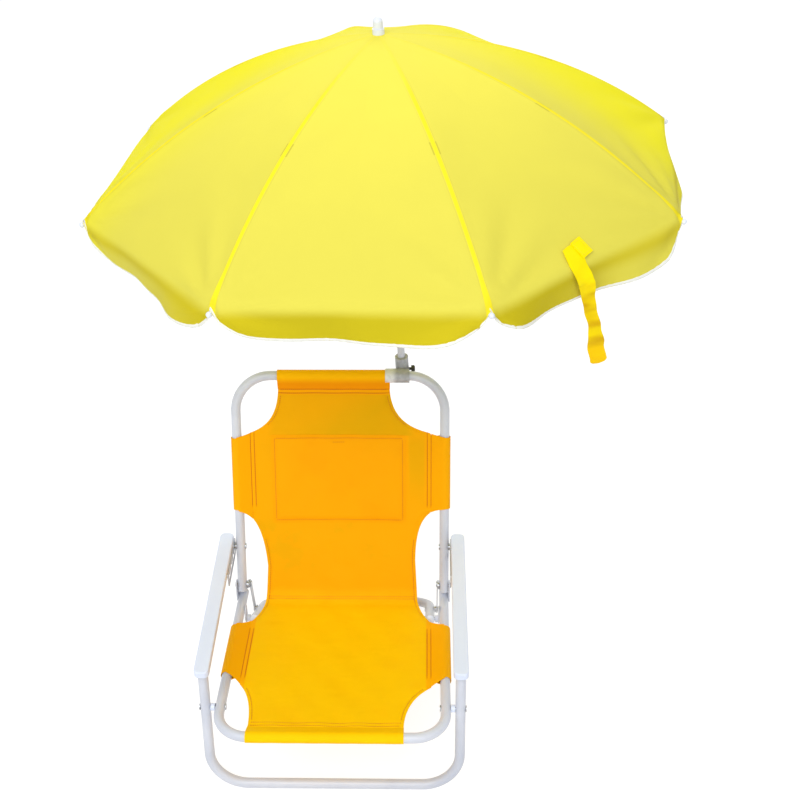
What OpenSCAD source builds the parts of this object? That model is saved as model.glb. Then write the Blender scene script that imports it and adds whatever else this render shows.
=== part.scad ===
// Children's folding chair with a clamp-on sun umbrella, in millimetres.
// Origin: on the floor, on the chair's mid-plane, under the front ground bar.
// X runs to the right of someone facing the chair, Y to the rear, Z up.
// Side-view points are [y, z] pairs and angles are counted from +Y towards +Z.

/* [Frame tubes] */
// Outer diameter of the frame tubes
tube_d = 16; // [14:0.5:18]
// Wall of the frame tubes
tube_wall = 1.2; // [0.8:0.1:2]
// Half the distance between the seat tubes' centres, and the back tubes'
seat_half = 175; // [170:1:180]
// How far the front legs' centres stand outside the seat tubes'
leg_outset = 23; // [22:1:31]
// How far the rear legs' centres stand inside the seat tubes'
rear_inset = 24; // [23:1:34]
// Bend radius of the two leg frames, on the tube's centre line
leg_bend = 60; // [45:1:75]
// Bend radius of the seat frame
seat_bend = 50; // [40:1:60]
// Bend radius of the back frame
back_bend = 61; // [50:1:70]
// How far a tube's open end runs past its last pivot
end_over = 11; // [10:0.5:12]

/* [Chair geometry] */
// Height of the seat's front bar above the floor
seat_front_z = 161.7; // [150:1:175]
// How far the seat's front bar stands in front of the ground bar
seat_front_over = 28; // [15:1:40]
// Slope of the seat down to the rear, in degrees
seat_slope = 7.05; // [5:0.1:9]
// Seat length from the front bar to the crease with the back
seat_depth = 325.5; // [310:1:345]
// Lean of the back from upright, in degrees
back_rake = 22.8; // [20:0.1:25]
// Back length from the crease to the top bar
back_rise = 398.6; // [370:1:430]
// Lean of the front legs from upright, in degrees
leg_lean = 13.1; // [11:0.1:15]
// Length of a front leg from the ground bar to its open top end
front_leg_len = 219; // [212:1:220]
// Distance of the rear ground bar behind the front one
rear_foot_y = 400; // [380:1:430]
// Place of the rear leg pivot along the seat from the front bar
rear_pivot_back = 295; // [285:1:300]
// Depth of the rear leg pivot below the seat tubes' centre line
rear_pivot_drop = 18; // [18:0.5:21]
// Height of the back pivot above the crease, along the back
back_pivot_up = 26; // [26:0.5:29]
// Height of the armrest stud above the crease, along the back
arm_pivot_up = 97; // [94:0.5:98]

/* [Rear linkage] */
// Throw of the crank on the back frame
crank_throw = 21; // [20:0.5:22]
// Direction of the crank from the back pivot, in degrees
crank_ang = -40; // [-44:1:-36]
// Distance of the link's lower rivet from the rear leg pivot
link_at = 87; // [80:1:90]
// Thickness of the cranks and links
plate_t = 1.6; // [1.4:0.1:1.6]
// Radius of a link's rounded ends
link_end_r = 7; // [6.5:0.5:8]

/* [Armrests] */
// Width of an armrest
arm_w = 23; // [23:0.5:25]
// Depth of an armrest's skirt, top face included
arm_h = 12; // [10:0.5:14]
// Wall of an armrest
arm_wall = 2; // [1.6:0.1:2]
// Height of the armrest's flat top above the floor
arm_top_z = 232; // [231:0.5:236]
// Length that the armrest runs in front of the leg's open end
arm_front_over = 15; // [14:0.5:22]
// Length that the armrest runs behind its stud
arm_rear_over = 11; // [10:0.5:16]
// Corner radius of an armrest seen from above
arm_corner_r = 8; // [5:0.5:10]
// Rounding of an armrest's upper edges
arm_edge_r = 2; // [1:0.25:3]
// Number of recline notches
notch_count = 4; // [3:1:4]
// Spacing of the recline notches
notch_pitch = 24; // [20:1:26]
// Depth of a recline notch above the slot's centre line
notch_depth = 6; // [5:0.5:7]
// Diameter of the armrest stud
stud_d = 8; // [7:0.5:9]

/* [Cloth] */
// Thickness of the seat cloth
cloth_t = 1; // [0.8:0.1:1.2]
// Half width of the sling at the crease and the waist
waist_half = 133; // [125:1:136]
// Left edge of the sling at the top bar
neck_left = -100; // [-105:1:-90]
// Right edge of the sling at the top bar, beside the clamp
neck_right = 86; // [80:1:88]
// Left edge of the sling on the front bar
lap_left = -126; // [-128:1:-110]
// Right edge of the sling on the front bar
lap_right = 111; // [105:1:120]
// Where the back's side sleeves start, above the crease
back_sleeve_low = 168; // [160:1:175]
// Where the back's side sleeves end, above the crease
back_sleeve_high = 294; // [285:1:300]
// Where the seat's side sleeves start, behind the front bar
seat_sleeve_front = 127; // [120:1:140]
// Where the seat's side sleeves end, behind the front bar
seat_sleeve_rear = 244; // [235:1:250]
// Half width of the sewn-on back panel
patch_half = 112; // [100:1:118]
// Lower edge of the sewn-on back panel, above the crease
patch_low = 141; // [130:1:160]
// Upper edge of the sewn-on back panel, above the crease
patch_high = 292; // [280:1:300]
// Thickness of the sewn-on back panel
patch_t = 0.8; // [0.6:0.1:1.2]

/* [Umbrella] */
// Radius of the ring of rib tips
canopy_r = 450; // [430:1:460]
// Height of the canopy's top above the ring of rib tips
canopy_rise = 203; // [190:1:215]
// Height of the ring of rib tips above the chair's top bar
ring_up = 362; // [350:1:375]
// Slope of a rib where it leaves the crown, in degrees
rib_start_slope = 8.5; // [7:0.5:10]
// Turn of the ribs about the pole, in degrees
rib_turn = -5; // [-10:0.5:10]
// Diameter of a rib's wire
rib_d = 3.2; // [2.8:0.1:3.4]
// Diameter of the ball on a rib's end
tip_d = 8; // [7:0.5:9]
// Distance along a rib from the crown to its stretcher
stretcher_at = 205; // [195:1:212]
// Diameter of a stretcher's wire
stretcher_d = 2.8; // [2.4:0.1:3]
// Depth of the valance that hangs between two rib tips
valance_drop = 50; // [40:1:60]
// Thickness of the canopy cloth
canopy_t = 0.6; // [0.5:0.1:0.8]
// How far the cloth between two ribs is drawn in from the straight line
canopy_draw = 5; // [0:0.5:8]
// Width of the tie strap
strap_w = 19; // [15:1:22]

/* [Pole and clamp] */
// Diameter of the umbrella pole
pole_d = 12; // [10:0.5:12.5]
// Wall of the umbrella pole
pole_wall = 0.8; // [0.6:0.1:1.2]
// Distance of the clamp from the chair's mid-plane
clamp_x = 104; // [102:0.5:106]
// Gap in plastic between the top bar and the pole
clamp_web = 2.5; // [2:0.25:4]
// Lean of the pole to the left, in degrees
pole_lean_left = 2.8; // [0:0.1:3.5]
// Lean of the pole to the rear, in degrees
pole_lean_back = 2; // [0:0.1:3.5]
// Outer radius of the clamp round the top bar
clamp_r = 12; // [11.5:0.25:13]
// Length of the clamp along the top bar
clamp_len = 40; // [36:1:42]
// Outer radius of the pole socket
socket_r = 11; // [9.5:0.25:12]
// Height of the socket's mouth above the top bar's centre
socket_up = 27; // [24:1:32]
// Depth of the socket's floor below the top bar's centre
socket_down = 10; // [8:1:12]
// Radius of the runner's flange
flange_r = 17; // [16.5:0.25:19]
// Length of the runner's grip below its flange
grip_len = 26; // [20:1:32]

/* [Fits] */
// Radial play of a rivet or pin that a piece turns on
play = 0.1; // [0.05:0.01:0.15]
// Gap between pieces that slide past each other
gap = 0.4; // [0.3:0.05:0.5]
// Radius of the frame's rivets
rivet_r = 2.5; // [2:0.1:2.6]
// Radius of the umbrella's hinge pins
pin_r = 1; // [0.8:0.05:1.05]

/* [Hidden] */
$fn = 48;
RIBS = 8;

white_paint = [0.93, 0.95, 0.95];
arm_colour = [0.91, 0.94, 0.99];
steel = [0.75, 0.76, 0.78];
seat_yellow = [1.0, 0.72, 0.0];
lemon = [0.96, 0.91, 0.37];
clear_plastic = [0.85, 0.86, 0.86];
dark = [0.2, 0.2, 0.22];

tube_r = tube_d / 2;
bore_r = tube_r - tube_wall;
front_half = seat_half + leg_outset;
rear_half = seat_half - rear_inset;

// A point a distance away in a direction, both in the side view
function along(p, a, d) = p + d * [cos(a), sin(a)];
// The direction from one side-view point to another
function toward(p, q) = atan2(q[1] - p[1], q[0] - p[0]);
// Where the line from p at angle a meets the line from q at angle b
function meet(p, a, q, b) =
    let (w = q - p, d = cos(a) * sin(b) - sin(a) * cos(b))
    along(p, a, (w[0] * sin(b) - w[1] * cos(b)) / d);
// Points on a curve that leaves a towards b and ends at c
function curve(a, b, c, steps = 8) =
    [for (k = [0:steps]) let (t = k / steps) (1 - t) * (1 - t) * a + 2 * t * (1 - t) * b + t * t * c];

seat_ang = -seat_slope;
back_ang = 90 - back_rake;
leg_ang = 90 - leg_lean;
seat_front = [-seat_front_over, seat_front_z];
leg_foot = [0, tube_r];
leg_top = along(leg_foot, leg_ang, front_leg_len);
leg_pivot = meet(leg_foot, leg_ang, seat_front, seat_ang);
crease = along(seat_front, seat_ang, seat_depth);
top_bar = along(crease, back_ang, back_rise);
back_pivot = along(crease, back_ang, back_pivot_up);
arm_pivot = along(crease, back_ang, arm_pivot_up);
rear_foot = [rear_foot_y, tube_r];
rear_pivot = along(along(seat_front, seat_ang, rear_pivot_back), seat_ang - 90, rear_pivot_drop);
rear_ang = toward(rear_foot, rear_pivot);
rear_leg_len = norm(rear_pivot - rear_foot) + end_over;
crank_pin = along(back_pivot, crank_ang, crank_throw);
link_pin = along(rear_pivot, rear_ang + 180, link_at);

// Layers across the width, each the face nearer the mid-plane
seat_inner = seat_half - tube_r;
seat_outer = seat_half + tube_r;
leg_inner = front_half - tube_r;
rear_outer = rear_half + tube_r;
crank_x = seat_inner - gap - plate_t;
link_x = crank_x - gap - plate_t;
bracket_x = seat_outer + gap;
bracket_t = 2;
hanger_t = 2;
hanger_x = seat_inner - hanger_t;
arm_x = front_half - arm_w / 2;
adjuster_x = arm_x - plate_t;
head_t = 1.2;
head_r = 5;
plug_shank = 6;
plug_head = 2;
seat_tail = (back_pivot - seat_front) * [cos(seat_ang), sin(seat_ang)] + end_over;

// The two frames that hold children at a side-view point, turned to an angle
module place(p, a) {
    translate([0, p[0], p[1]])
        rotate([a, 0, 0])
            children();
}

// Children as modelled for the right side, and mirrored to the left
module both_sides() {
    for (side = [0, 1]) mirror([side, 0, 0]) children();
}

// A pin across the width, from one x to another, at a side-view point
module cross_pin(p, from_x, to_x, r) {
    translate([from_x, p[0], p[1]])
        rotate([0, 90, 0])
            cylinder(r = r, h = to_x - from_x);
}

// A flat side-view outline given thickness across the width
module side_plate(from_x, t) {
    translate([from_x, 0, 0])
        rotate([90, 0, 90])
            linear_extrude(t)
                children();
}

// A straight bar with round ends between two flat points
module flat_bar(p, q, r) translate(p) rotate(toward(p, q)) {
    circle(r);
    translate([norm(q - p), 0]) circle(r);
    translate([0, -r]) square([norm(q - p), 2 * r]);
}

// A flat rectangle with round corners, from its lower left corner
module round_rect(w, h, r) {
    translate([r, 0]) square([w - 2 * r, h]);
    translate([0, r]) square([w, h - 2 * r]);
    for (x = [r, w - r], y = [r, h - r]) translate([x, y]) circle(r);
}

// A solid bar bent to a U: the bar lies along X, the legs run along +Y
module u_bar(half, reach, bend, r) {
    for (side = [0, 1]) mirror([side, 0, 0]) {
        translate([half, bend, 0])
            rotate([-90, 0, 0])
                cylinder(r = r, h = reach - bend);
        translate([half - bend, bend, 0])
            rotate([0, 0, -90])
                rotate_extrude(angle = 90)
                    translate([bend, 0])
                        circle(r);
    }
    translate([bend - half, 0, 0])
        rotate([0, 90, 0])
            cylinder(r = r, h = 2 * (half - bend));
}

// A tube bent to a U, open at both ends
module u_tube(half, reach, bend) {
    difference() {
        u_bar(half, reach, bend, tube_r);
        u_bar(half, reach + 1, bend, bore_r);
    }
}

// The two plugs in a U tube's open ends
module u_plugs(half, reach) {
    both_sides() translate([half, reach, 0]) rotate([-90, 0, 0]) {
        translate([0, 0, -plug_shank]) cylinder(r = bore_r - play, h = plug_shank);
        intersection() {
            cylinder(r = tube_r, h = plug_head);
            translate([0, 0, plug_head - 2 * tube_r]) sphere(2 * tube_r);
        }
    }
}

// A headed rivet across the width, heads outside the stated span
module rivet(p, from_x, to_x, r = rivet_r) {
    cross_pin(p, from_x, to_x, r);
    cross_pin(p, from_x - head_t, from_x, head_r);
    cross_pin(p, to_x, to_x + head_t, head_r);
}

// A washer or spacer across the width
module spacer(p, from_x, to_x, outer_r, hole_r) {
    difference() {
        cross_pin(p, from_x, to_x, outer_r);
        cross_pin(p, from_x - 1, to_x + 1, hole_r);
    }
}

module front_leg() color(white_paint) difference() {
    place(leg_foot, leg_ang) u_tube(front_half, front_leg_len, leg_bend);
    both_sides() cross_pin(leg_pivot, leg_inner - 1, front_half + tube_r + 1, rivet_r + play);
}

module leg_plugs() color(arm_colour)
    place(leg_foot, leg_ang) u_plugs(front_half, front_leg_len);

module rear_leg() color(white_paint) difference() {
    place(rear_foot, rear_ang) u_tube(rear_half, rear_leg_len, leg_bend);
    both_sides() {
        cross_pin(rear_pivot, rear_half - tube_r - 1, rear_outer + 1, rivet_r + play);
        cross_pin(link_pin, rear_half - tube_r - 1, rear_outer + 1, rivet_r + play);
    }
}

module rear_plugs() color(arm_colour)
    place(rear_foot, rear_ang) u_plugs(rear_half, rear_leg_len);

// The seat tube with a bracket for the back and a hanger for the rear leg
module seat_frame() color(white_paint) difference() {
    union() {
        place(seat_front, seat_ang) u_tube(seat_half, seat_tail, seat_bend);
        both_sides() {
            side_plate(bracket_x, bracket_t)
                flat_bar(back_pivot, along(back_pivot, seat_ang - 90, bracket_drop), bracket_r);
            place(seat_front, seat_ang)
                translate([seat_outer - weld_in, bracket_at - weld_half, -weld_h / 2])
                    cube([weld_in + gap + bracket_t / 2, 2 * weld_half, weld_h]);
            side_plate(hanger_x, hanger_t)
                flat_bar(rear_pivot, along(rear_pivot, seat_ang + 90, rear_pivot_drop), hanger_r);
            place(seat_front, seat_ang)
                translate([seat_inner - hanger_t / 2, rear_pivot_back - weld_half, -weld_h / 2])
                    cube([hanger_t / 2 + weld_in, 2 * weld_half, weld_h]);
        }
    }
    both_sides() {
        place(seat_front, seat_ang)
            translate([seat_half, seat_bend, 0])
                rotate([-90, 0, 0])
                    cylinder(r = bore_r, h = seat_tail);
        cross_pin(leg_pivot, seat_inner - 1, seat_outer + 1, rivet_r + play);
        cross_pin(back_pivot, bracket_x - 1, bracket_x + bracket_t + 1, rivet_r + play);
        cross_pin(rear_pivot, hanger_x - 1, seat_inner + 1, rivet_r + play);
    }
}
bracket_r = 9;
hanger_r = 8;
weld_in = 1.6;
weld_half = 7;
weld_h = 6;
bracket_at = seat_tail - end_over;
bracket_drop = back_pivot_up * sin(back_ang - seat_ang);

module seat_plugs() color(arm_colour)
    place(seat_front, seat_ang) u_plugs(seat_half, seat_tail);

module leg_rivets() color(steel)
    both_sides() rivet(leg_pivot, seat_inner, front_half + tube_r + gap / 2);

module leg_spacers() color(arm_colour)
    both_sides() spacer(leg_pivot, seat_outer + gap / 2, leg_inner - gap, spacer_r, rivet_r + play);
spacer_r = 6;

module rear_rivets() color(steel)
    both_sides() rivet(rear_pivot, rear_half - tube_r - gap / 2, seat_inner);

module rear_spacers() color(arm_colour)
    both_sides() spacer(rear_pivot, rear_outer + gap, hanger_x - gap / 2, spacer_r, rivet_r + play);

module back_rivets() color(steel)
    both_sides() rivet(back_pivot, crank_x - gap / 2, bracket_x + bracket_t);

// The back tube, which also carries the armrest studs and the clamp
module back_frame() color(white_paint) difference() {
    place(top_bar, back_ang - 180)
        u_tube(seat_half, back_rise - back_pivot_up + end_over, back_bend);
    both_sides() {
        cross_pin(back_pivot, seat_inner - 1, seat_outer + 1, rivet_r + play);
        cross_pin(arm_pivot, seat_inner - 1, seat_outer + 1, stud_d / 2 + play);
    }
}

module back_plugs() color(arm_colour)
    place(top_bar, back_ang - 180) u_plugs(seat_half, back_rise - back_pivot_up + end_over);

// Small plates on the back tubes' inner sides that pull the rear legs in
module cranks() color(steel) both_sides() difference() {
    union() {
        side_plate(crank_x, plate_t) flat_bar(back_pivot, crank_pin, link_end_r);
        cross_pin(back_pivot, crank_x + plate_t / 2, seat_inner, link_end_r - 1);
    }
    cross_pin(back_pivot, crank_x - 1, seat_inner + 1, rivet_r + play);
    cross_pin(crank_pin, crank_x - 1, crank_x + plate_t + 1, rivet_r + play);
}

module crank_rivets() color(steel) both_sides()
    rivet(crank_pin, link_x - gap / 2, crank_x + plate_t, rivet_r);

// The link turns on its lower rivet. Its upper end is a hook, open to the
// rear, that the crank's rivet leaves a little while the chair folds.
module link() color(steel) side_plate(link_x, plate_t) difference() {
    flat_bar(link_pin, crank_pin, link_end_r);
    translate(link_pin) circle(rivet_r + play);
    translate(crank_pin) rotate(toward(link_pin, crank_pin)) {
        circle(rivet_r + link_slack);
        translate([-hook_half, -2 * link_end_r]) square([2 * hook_half, 2 * link_end_r]);
    }
}
link_slack = 0.7;
hook_half = rivet_r + link_slack + 0.5;
module link_right() link();
module link_left() mirror([1, 0, 0]) link();

module link_rivets() color(steel) both_sides() {
    cross_pin(link_pin, rear_half - tube_r, link_x + plate_t + gap / 2, rivet_r);
    cross_pin(link_pin, rear_half - tube_r - head_t, rear_half - tube_r, head_r);
    cross_pin(link_pin, link_x + plate_t + gap / 2, link_x + plate_t + gap / 2 + head_t, head_r);
    spacer(link_pin, rear_outer, link_x - gap / 2, spacer_r, rivet_r);
}

module arm_studs() color(steel) both_sides() {
    rivet(arm_pivot, seat_inner, arm_x + gap, stud_d / 2);
    spacer(arm_pivot, seat_outer, adjuster_x - gap, stud_d / 2 + 2, stud_d / 2);
}

arm_front_y = leg_top[0] - arm_front_over;
arm_len = arm_pivot[0] + arm_rear_over - arm_front_y;

// One upright corner of an armrest with a rounded upper edge
module arm_post(h) {
    cylinder(r = arm_corner_r, h = h - arm_edge_r);
    translate([0, 0, h - arm_edge_r])
        rotate_extrude()
            intersection() {
                union() {
                    square([arm_corner_r - arm_edge_r, arm_edge_r]);
                    translate([arm_corner_r - arm_edge_r, 0]) circle(arm_edge_r);
                }
                square([arm_corner_r, arm_edge_r]);
            }
}

// A moulded channel, open below, with the leg's end standing inside it
module arm() color(arm_colour) translate([arm_x, arm_front_y, arm_top_z - arm_h]) difference() {
    hull() {
        for (x = [arm_corner_r, arm_w - arm_corner_r], y = [arm_corner_r, arm_len - arm_corner_r])
            translate([x, y, 0]) arm_post(arm_h, $fn = 32);
    }
    translate([arm_wall, arm_wall, -1])
        linear_extrude(arm_h - arm_wall + 1)
            round_rect(arm_w - 2 * arm_wall, arm_len - 2 * arm_wall, arm_corner_r - arm_wall);
}
module arm_right() arm();
module arm_left() mirror([1, 0, 0]) arm();

notch_r = stud_d / 2 + 0.5;
slot_z = arm_pivot[1] - notch_depth;
adjuster_rim = 4;

// A plate under the armrest with a slot and notches for the stud
module adjuster() color(steel) side_plate(adjuster_x, plate_t) difference() {
    translate([arm_pivot[0] - (notch_count - 1) * notch_pitch - notch_r - 2 * adjuster_rim,
               slot_z - notch_r - adjuster_rim])
        round_rect((notch_count - 1) * notch_pitch + 2 * notch_r + 3 * adjuster_rim,
                   arm_top_z - arm_h + adjuster_rim - slot_z + notch_r + adjuster_rim, adjuster_rim);
    flat_bar([arm_pivot[0] - (notch_count - 1) * notch_pitch, slot_z], [arm_pivot[0], slot_z], notch_r);
    for (k = [0:notch_count - 1])
        translate([arm_pivot[0] - k * notch_pitch, 0]) {
            translate([0, arm_pivot[1]]) circle(notch_r);
            translate([-notch_r, slot_z]) square([2 * notch_r, notch_depth]);
        }
}
module adjuster_right() adjuster();
module adjuster_left() mirror([1, 0, 0]) adjuster();

sleeve_in = tube_r + 0.3;
sleeve_out = sleeve_in + cloth_t;

// A flat sheet in a frame's plane, with the outline's x across and y along
module sheet(points) translate([0, 0, -cloth_t / 2]) linear_extrude(cloth_t) polygon(points);

// A sleeve round a tube that runs along the frame's legs
module leg_sleeve(low, high) both_sides() translate([seat_half, low, 0]) rotate([-90, 0, 0])
    cylinder(r = sleeve_out, h = high - low);

// A sleeve round a frame's cross bar
module bar_sleeve(left, right) translate([left, 0, 0]) rotate([0, 90, 0])
    cylinder(r = sleeve_out, h = right - left);

// One side of the seat's outline, from the front bar to the crease
function seat_edge(side, lap) = concat(
    [[lap, 0]],
    curve([lap, 45], [lap + side * 4, seat_sleeve_front - 8], [side * seat_half, seat_sleeve_front]),
    curve([side * seat_half, seat_sleeve_rear], [side * (waist_half + 14), seat_sleeve_rear + 12],
          [side * waist_half, seat_depth - 1]));

// Length of the curve from the waist out to the back's side sleeve
hip_run = 70;
// How far the cut for the seat's tube runs on behind the crease
cut_past = 60;

// One side of the back's outline, from the crease to the top bar
function back_edge(side, neck) = concat(
    [[side * waist_half, 1.5]],
    curve([side * waist_half, back_sleeve_low - hip_run], [side * (waist_half + 2), back_sleeve_low - 4],
          [side * seat_half, back_sleeve_low]),
    curve([side * seat_half, back_sleeve_high], [neck + side * 12, back_sleeve_high + 8],
          [neck, back_rise - 14]),
    [[neck, back_rise]]);

function backward(list) = [for (k = [len(list) - 1:-1:0]) list[k]];

module seat_sling() color(seat_yellow) place(seat_front, seat_ang) difference() {
    union() {
        sheet(concat(seat_edge(1, lap_right), backward(seat_edge(-1, lap_left))));
        leg_sleeve(seat_sleeve_front, seat_sleeve_rear);
        bar_sleeve(lap_left, lap_right);
    }
    u_bar(seat_half, seat_depth + cut_past, seat_bend, sleeve_in);
}

// Seen in the back frame's plane, counted up from the crease
module in_back() place(crease, back_ang) children();

module back_sling() color(seat_yellow) in_back() difference() {
    union() {
        sheet(concat(back_edge(1, neck_right), backward(back_edge(-1, neck_left))));
        leg_sleeve(back_sleeve_low, back_sleeve_high);
        translate([0, back_rise, 0]) bar_sleeve(neck_left, neck_right);
    }
    translate([0, back_rise, 0]) rotate([0, 0, 180]) u_bar(seat_half, back_rise + 1, back_bend, sleeve_in);
}

module back_patch() color([1.0, 0.66, 0.0]) in_back()
    translate([-patch_half, patch_low, cloth_t / 2])
        linear_extrude(patch_t)
            round_rect(2 * patch_half, patch_high - patch_low, 3);

// Umbrella sizes, with heights counted along the pole from the top bar
pole_r = pole_d / 2;
pole_behind = tube_r + clamp_web + pole_r;
apex_up = ring_up + canopy_rise;
rib_r = rib_d / 2;
hinge_r = pole_r + 6;
hinge_up = apex_up - 4;
hinge_drop = canopy_rise - 4;
rib_chord = norm([canopy_r - hinge_r, hinge_drop]);
rib_mean_slope = atan2(hinge_drop, canopy_r - hinge_r);
rib_end_slope = 2 * rib_mean_slope - rib_start_slope;
rib_bend_r = rib_chord / (2 * sin(rib_mean_slope - rib_start_slope));
eye_r = pin_r + 1.1;
cloth_over_rib = rib_r + 0.8;
crown_top = hinge_up + cloth_over_rib - 0.3;
crown_r = hinge_r + 3;
crown_h = 11;
slot_half = 1.3;
crown_slot_half = rib_r + 0.2;
blade_t = 1.8;

// The umbrella's own frame, with its Z along the pole
module on_pole() translate([clamp_x, top_bar[0] + pole_behind, top_bar[1]])
    rotate([-pole_lean_back, -pole_lean_left, 0])
        children();

// Azimuth of a rib, counted from +X towards +Y
function rib_az(i) = rib_turn - 90 + (i - 0.5) * 360 / RIBS;
// Point on a rib's centre line at a slope, as [out, up]
function rib_at(slope, off = 0) = [
    hinge_r + rib_bend_r * (sin(slope) - sin(rib_start_slope)) + off * sin(slope),
    hinge_up - rib_bend_r * (cos(rib_start_slope) - cos(slope)) + off * cos(slope)];
// Slope of a rib at a distance along it
function rib_slope(d) = rib_start_slope + d / rib_bend_r * 180 / PI;

rib_len = rib_bend_r * (rib_end_slope - rib_start_slope) * PI / 180;
wire_over = 3.5;
wire_end_slope = rib_slope(rib_len + wire_over);
joint_off = rib_r + 3;
joint_slope = rib_slope(stretcher_at);
joint_at = rib_at(joint_slope, -joint_off);
runner_pin_r = pole_r + 8;
runner_below_apex = 156;
runner_pin_up = apex_up - runner_below_apex;
stretcher_dir = toward(joint_at, [runner_pin_r, runner_pin_up]);
stretcher_len = norm(joint_at - [runner_pin_r, runner_pin_up]);

// A disc standing in a rib's own plane, centred on that plane
module eye(p, r, t) translate([p[0], t / 2, p[1]]) rotate([90, 0, 0]) cylinder(r = r, h = t);

module in_rib_plane(i) on_pole() rotate([0, 0, rib_az(i)]) children();

// A wire rib with an eye at the crown and an ear for its stretcher
module rib(i) color(white_paint) in_rib_plane(i) difference() {
    union() {
        eye([hinge_r, hinge_up], eye_r, 2);
        translate([hinge_r - rib_bend_r * sin(rib_start_slope), 0, hinge_up - rib_bend_r * cos(rib_start_slope)])
            rotate([90, 0, 0])
                rotate([0, 0, 90 - wire_end_slope])
                    rotate_extrude(angle = wire_end_slope - rib_slope(eye_r * 0.8))
                        translate([rib_bend_r, 0])
                            circle(rib_r, $fn = 24);
        eye(joint_at, eye_r + 0.4, 1.6);
        translate([joint_at[0], 0, joint_at[1]])
            rotate([0, joint_slope, 0])
                translate([-2, -0.8, 0])
                    cube([4, 1.6, joint_off]);
        eye(joint_at, pin_r, 2 * fork_out + 0.6);
    }
    eye([hinge_r, hinge_up], pin_r + play, 6);
}
fork_in = 1.1;
fork_out = 2.2;

module tip(i) color(arm_colour) in_rib_plane(i) {
    end = rib_at(wire_end_slope);
    translate([end[0], 0, end[1]]) rotate([0, wire_end_slope, 0]) difference() {
        translate([tip_d / 2 - 2, 0, 0]) sphere(d = tip_d);
        translate([-tip_d, 0, 0]) rotate([0, 90, 0]) cylinder(r = rib_r + play / 2, h = tip_d + 0.2);
    }
}

// A wire stretcher: a fork on the rib's ear and an open hook on the runner
module stretcher(i) color(white_paint) in_rib_plane(i)
    translate([joint_at[0], 0, joint_at[1]]) rotate([0, -stretcher_dir, 0]) difference() {
        union() {
            for (side = [-1, 1]) {
                translate([0, side * (fork_in + fork_out) / 2, 0]) {
                    eye([0, 0], eye_r + 0.3, fork_out - fork_in);
                    translate([0, fork_in / 2 - fork_out / 2, -1.3]) cube([6, fork_out - fork_in, 2.6]);
                }
            }
            translate([3.4, -fork_out, -1.3]) cube([3.6, 2 * fork_out, 2.6]);
            translate([6, 0, 0]) rotate([0, 90, 0])
                cylinder(r = stretcher_d / 2, h = stretcher_len - 6 - hook_back, $fn = 24);
            translate([stretcher_len - hook_back - 3, -blade_t / 2, -1.2]) cube([hook_back + 3, blade_t, 3.6]);
            eye([stretcher_len, 0], hook_r, blade_t);
        }
        eye([0, 0], pin_r + play, 2 * fork_out + 2);
        eye([stretcher_len, 0], hook_seat, blade_t + 1);
        translate([stretcher_len, blade_t, 0]) rotate([90, 0, 0])
            linear_extrude(2 * blade_t)
                polygon([[-hook_seat, 0.7 * hook_seat], [0, 0.7 * hook_seat], [hook_seat, 0],
                         [hook_seat, -2 * hook_r], [-hook_back, -2 * hook_r], [-hook_back, -stretcher_d / 2]]);
    }
hook_r = 2.9;
hook_back = 8;
hook_seat = pin_r + 0.2;

// The hub on the pole's top that the ribs hinge in
module crown() color(white_paint) on_pole() {
    difference() {
        translate([0, 0, crown_top - crown_h]) cylinder(r = crown_r, h = crown_h);
        translate([0, 0, crown_top - crown_h - 1]) cylinder(r = pole_r + play / 2, h = crown_h + 2);
        for (i = [1:RIBS]) rotate([0, 0, rib_az(i)])
            translate([pole_r + 2.5, -crown_slot_half, crown_top - crown_h - 1])
                cube([crown_r, 2 * crown_slot_half, crown_h + 2]);
    }
    for (i = [1:RIBS]) rotate([0, 0, rib_az(i)])
        eye([hinge_r, hinge_up], pin_r, 2 * crown_slot_half + 1.4);
}

// The finial over the cloth, on the pole's end
module cap() color(clear_plastic) on_pole() translate([0, 0, crown_top + canopy_t + 0.9]) rotate_extrude()
    difference() {
        union() {
            square([cap_r, cap_collar]);
            square([cap_r - 1.5, cap_h - cap_r + 2]);
            intersection() {
                translate([0, cap_h - cap_r + 1.5]) circle(cap_r - 1.5);
                square([cap_r, cap_h]);
            }
        }
        square([pole_r + play / 2, cap_collar + 4]);
        translate([-2 * cap_r, -1]) square([2 * cap_r, 2 * cap_h]);
    }
cap_r = 8.5;
cap_collar = 8;
cap_h = 24;

pole_base = 2.4 - socket_down;
pole_top = crown_top + canopy_t + 0.9 + cap_collar;

module pole() color(white_paint) on_pole() difference() {
    translate([0, 0, pole_base]) cylinder(r = pole_r, h = pole_top - pole_base);
    translate([0, 0, pole_base - 1]) cylinder(r = pole_r - pole_wall, h = pole_top - pole_base + 2);
}

// A plug that closes the pole's lower end
module pole_foot() color(dark) on_pole() {
    translate([0, 0, pole_base]) cylinder(r = pole_r - pole_wall - play, h = 10);
    translate([0, 0, pole_base - 1]) cylinder(r = pole_r, h = 1);
}

// The sliding hub, with a slotted flange and hinge pins for the stretchers
module runner() color(white_paint) on_pole() translate([0, 0, runner_pin_up]) {
    difference() {
        union() {
            translate([0, 0, -4]) cylinder(r = flange_r, h = 8);
            translate([0, 0, -4 - grip_len]) cylinder(r = pole_r + 3, h = grip_len + 12);
            translate([0, 0, -4 - grip_len]) cylinder(r = pole_r + 4.5, h = 4);
        }
        translate([0, 0, -5 - grip_len]) cylinder(r = pole_r + play, h = grip_len + 20);
        for (i = [1:RIBS]) rotate([0, 0, rib_az(i)])
            translate([runner_pin_r - hook_r - 0.6, -slot_half, -5]) cube([flange_r, 2 * slot_half, 10]);
    }
    for (i = [1:RIBS]) rotate([0, 0, rib_az(i)]) eye([runner_pin_r, 0], pin_r, 2 * slot_half + 1.4);
}

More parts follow.
